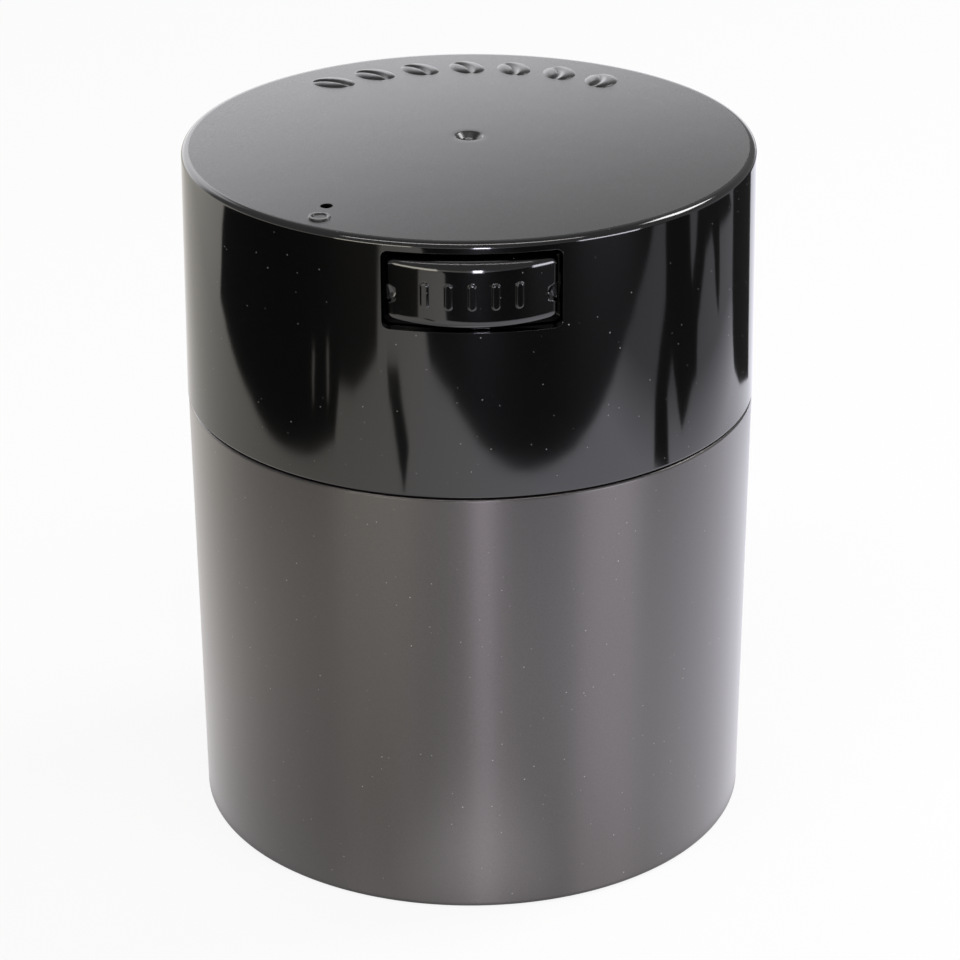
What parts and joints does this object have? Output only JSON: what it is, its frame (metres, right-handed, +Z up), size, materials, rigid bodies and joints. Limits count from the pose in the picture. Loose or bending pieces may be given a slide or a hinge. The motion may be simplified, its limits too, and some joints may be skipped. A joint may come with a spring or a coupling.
{
  "type": "coffee canister with valve",
  "caption": "Round coffee canister with a deep skirted cap, a press button that opens its air port, and a one-way valve in the cap's deck.",
  "frame": {"origin": "centre of the base, on the surface that the canister stands on", "axes": "+Z up along the canister's axis, the press button towards -Y, +X to the right seen from the front"},
  "size_m": [0.103, 0.1046, 0.1285],
  "materials": {
    "canister": "satin metallic dark grey, lightly pearled plastic",
    "cap": "polished black plastic, with a finely textured satin field on top",
    "button": "polished black plastic",
    "deck": "plain black moulded plastic",
    "seal_silicone": "matte translucent grey silicone",
    "slide": "natural white low-friction plastic",
    "stopper_rubber": "soft black rubber",
    "keeper": "plain black moulded plastic",
    "screw_steel": "zinc-plated steel",
    "spring_steel": "stainless spring wire",
    "valve_plastic": "plain off-white moulded plastic",
    "valve_silicone": "thin rust-coloured silicone",
    "filter_felt": "white felt"
  },
  "bodies": {
    "canister": {"canister_body": "canister"},
    "seal": {"lip_seal": "seal_silicone"},
    "cap": {"outer_cap": "cap", "inner_cap": "deck", "port_grommet": "seal_silicone", "slide_keeper": "keeper", "keeper_screws": "screw_steel", "button_spring_left": "spring_steel", "button_spring_right": "spring_steel", "valve_seat": "valve_plastic", "valve_cover": "valve_plastic", "valve_filter": "filter_felt"},
    "button": {"press_button": "button", "valve_slide": "slide", "stopper_pad": "stopper_rubber"},
    "disc": {"valve_disc": "valve_silicone"}
  },
  "joints": [
    {"name": "lid_lift", "type": "slide", "parent": "canister", "child": "seal", "axis": [0, 0, 1], "range_m": [0, 0.06]},
    {"name": "lid_turn", "type": "hinge", "parent": "seal", "child": "cap", "pos_m": [0, 0, 0.1], "axis": [0, 0, 1], "continuous": true},
    {"name": "button_press", "type": "slide", "parent": "cap", "child": "button", "axis": [0, 1, 0], "range_m": [0, 0.003], "stiffness_N_per_m": 1400, "springref_m": -0.0012, "deforming": ["button_spring_left", "button_spring_right"]},
    {"name": "valve_lift", "type": "slide", "parent": "cap", "child": "disc", "axis": [0, 0, 1], "range_m": [0, 0.0008], "stiffness_N_per_m": 20}
  ]
}
